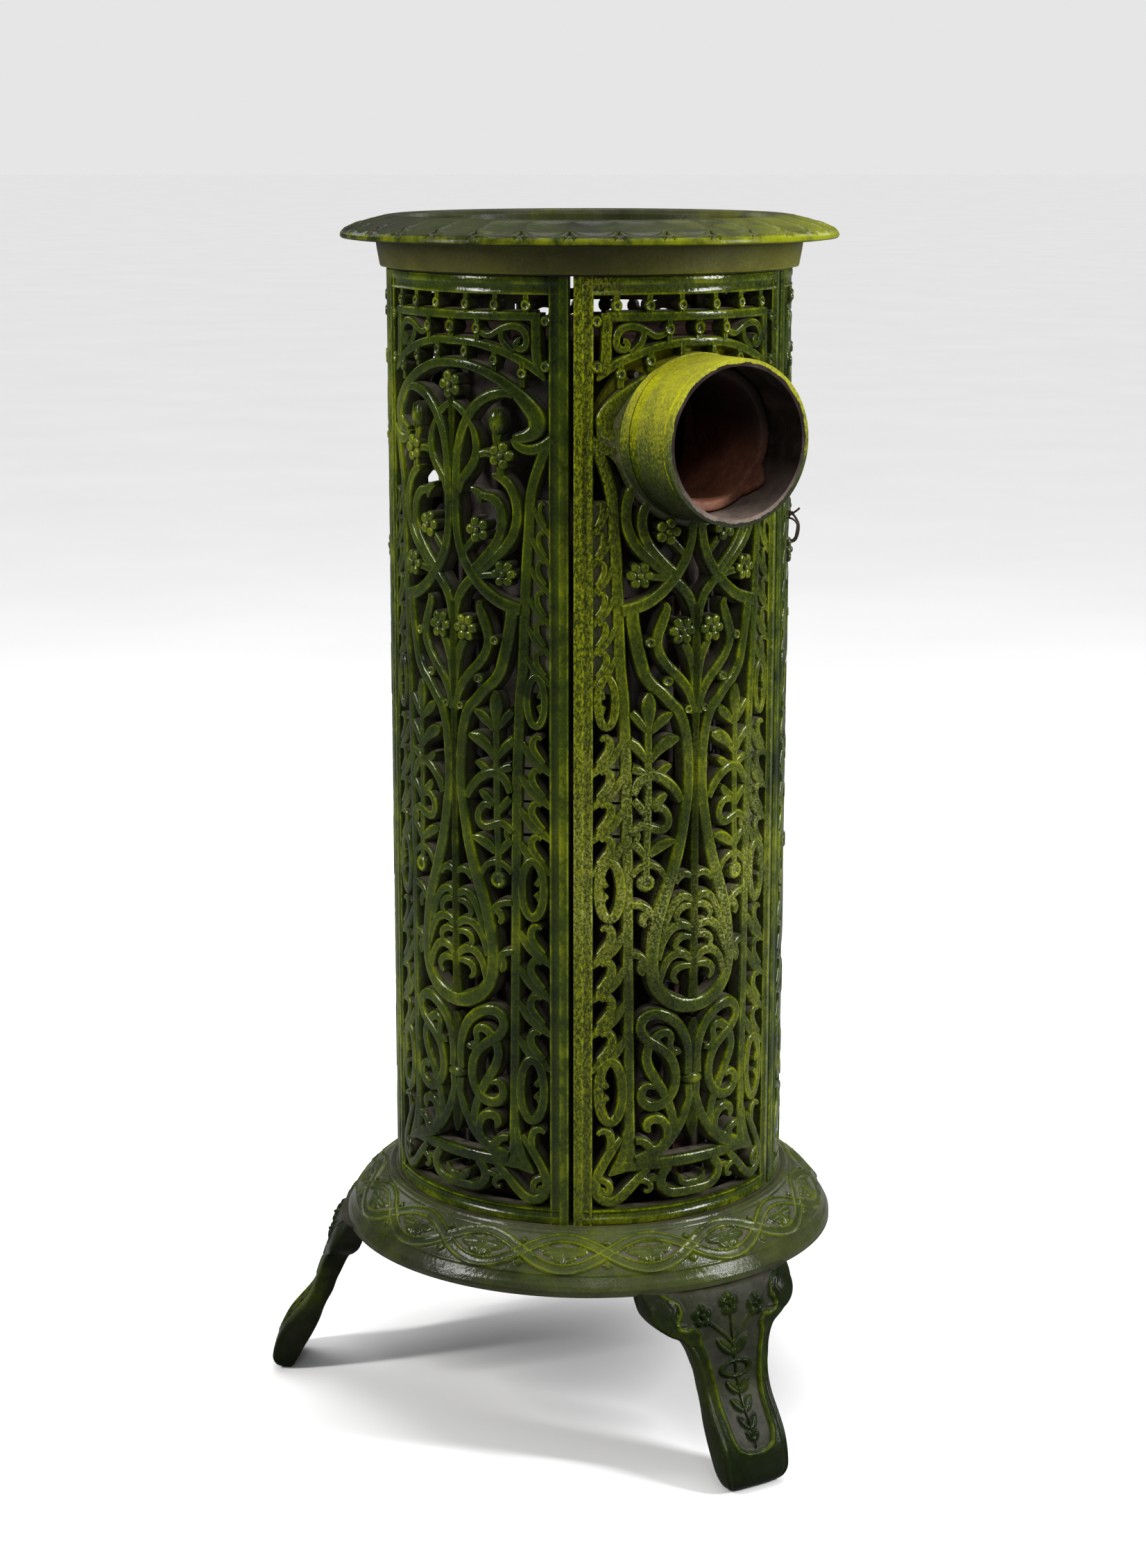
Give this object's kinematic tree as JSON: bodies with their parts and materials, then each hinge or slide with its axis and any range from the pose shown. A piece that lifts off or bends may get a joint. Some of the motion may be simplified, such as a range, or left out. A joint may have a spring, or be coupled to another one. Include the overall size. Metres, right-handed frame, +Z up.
{
  "type": "kerosene heater",
  "caption": "openwork cast column heater on splayed cabriole legs, round-wick burner inside an iron drum, with a rear flue collar and hinged front doors",
  "frame": {"origin": "middle of the bottom of the whole heater's bounding box, on the floor", "axes": "+Z up, -Y the front with the two doors, +Y the back with the flue collar, +X the right-hand door's side as the front is faced"},
  "size_m": [0.4696, 0.4712, 0.9682],
  "materials": {
    "green_enamel": "mottled green vitreous enamel over cast iron, glossy",
    "rim_enamel": "glossy green enamel, lime on the raised edges",
    "base_enamel": "dull olive enamel with a grey film",
    "leg_enamel": "dark slate green enamel, worn at the foot",
    "collar_enamel": "lime green enamel, chipped and sooty at the lip",
    "drum_iron": "bare iron, dark brown rust",
    "red_rust_iron": "bare iron, red-brown rust",
    "fireclay": "matt fireclay",
    "terracotta": "unglazed red terracotta, sooted",
    "fixing_steel": "dull rusted steel",
    "floor_steel": "rusted sheet steel",
    "tank_steel": "dark painted sheet steel",
    "brass": "aged brass",
    "spreader_steel": "heat-stained steel",
    "wick_cotton": "woven cotton",
    "wire": "twisted iron wire"
  },
  "bodies": {
    "casing": {"base_ring": "base_enamel", "leg_back": "leg_enamel", "leg_front_left": "leg_enamel", "leg_front_right": "leg_enamel", "leg_bolts": "fixing_steel", "panel_back": "green_enamel", "panel_left": "green_enamel", "panel_right": "green_enamel", "top_ring": "rim_enamel", "tie_rods": "fixing_steel", "tie_rod_nuts": "fixing_steel", "door_pins": "fixing_steel", "floor_plate": "floor_steel", "drum_lower": "drum_iron", "drum_middle": "drum_iron", "drum_neck": "drum_iron", "drum_upper": "drum_iron", "drum_cover": "red_rust_iron", "fireclay_ring": "fireclay", "flue_liner": "terracotta", "flue_collar": "collar_enamel", "collar_bolts": "fixing_steel", "flue_stay": "red_rust_iron", "tank": "tank_steel", "tank_posts": "tank_steel", "burner_tube": "brass", "burner_gallery": "brass", "flame_spreader": "spreader_steel", "spindle_bush": "brass"},
    "left_door": {"door_left": "green_enamel", "door_knob_left": "green_enamel"},
    "right_door": {"door_right": "green_enamel", "door_knob_right": "green_enamel"},
    "top_lid": {"lid": "drum_iron", "lid_knob": "drum_iron"},
    "fuel_cap": {"filler_cap": "brass"},
    "wick_group": {"wick": "wick_cotton", "wick_carrier": "brass"},
    "wick_drive": {"wick_spindle": "brass", "wick_knob": "brass"},
    "shutter": {"shutter_ring": "floor_steel"},
    "loop": {"wire_loop": "wire"}
  },
  "joints": [
    {"name": "door_left_hinge", "type": "hinge", "parent": "casing", "child": "left_door", "pos_m": [-0.14451, -0.08944, 0.56], "axis": [0, 0, -1], "range_deg": [0, 105]},
    {"name": "door_right_hinge", "type": "hinge", "parent": "casing", "child": "right_door", "pos_m": [0.14451, -0.08944, 0.56], "axis": [0, 0, 1], "range_deg": [0, 105]},
    {"name": "lid_lift", "type": "slide", "parent": "casing", "child": "top_lid", "axis": [0, 0, 1], "range_m": [0, 0.08]},
    {"name": "filler_cap_lift", "type": "slide", "parent": "casing", "child": "fuel_cap", "axis": [0, 0, 1], "range_m": [0, 0.03]},
    {"name": "wick_spindle_turn", "type": "hinge", "parent": "casing", "child": "wick_drive", "pos_m": [0, -0.1234, 0.206], "axis": [0, 1, 0], "range_deg": [0, 215]},
    {"name": "wick_raise", "type": "slide", "parent": "casing", "child": "wick_group", "axis": [0, 0, 1], "range_m": [0, 0.015]},
    {"name": "shutter_turn", "type": "hinge", "parent": "casing", "child": "shutter", "pos_m": [0, -0.0334, 0.247], "axis": [0, 0, 1], "range_deg": [0, 45]},
    {"name": "wire_loop_swing", "type": "hinge", "parent": "casing", "child": "loop", "pos_m": [-0.1228, 0.05787, 0.7296], "axis": [0.5965, 0.8026, 0], "range_deg": [0, 40]}
  ],
  "couplings": [
    {"joint": "wick_spindle_turn", "follows": "wick_raise", "rad_per_m": 250}
  ]
}
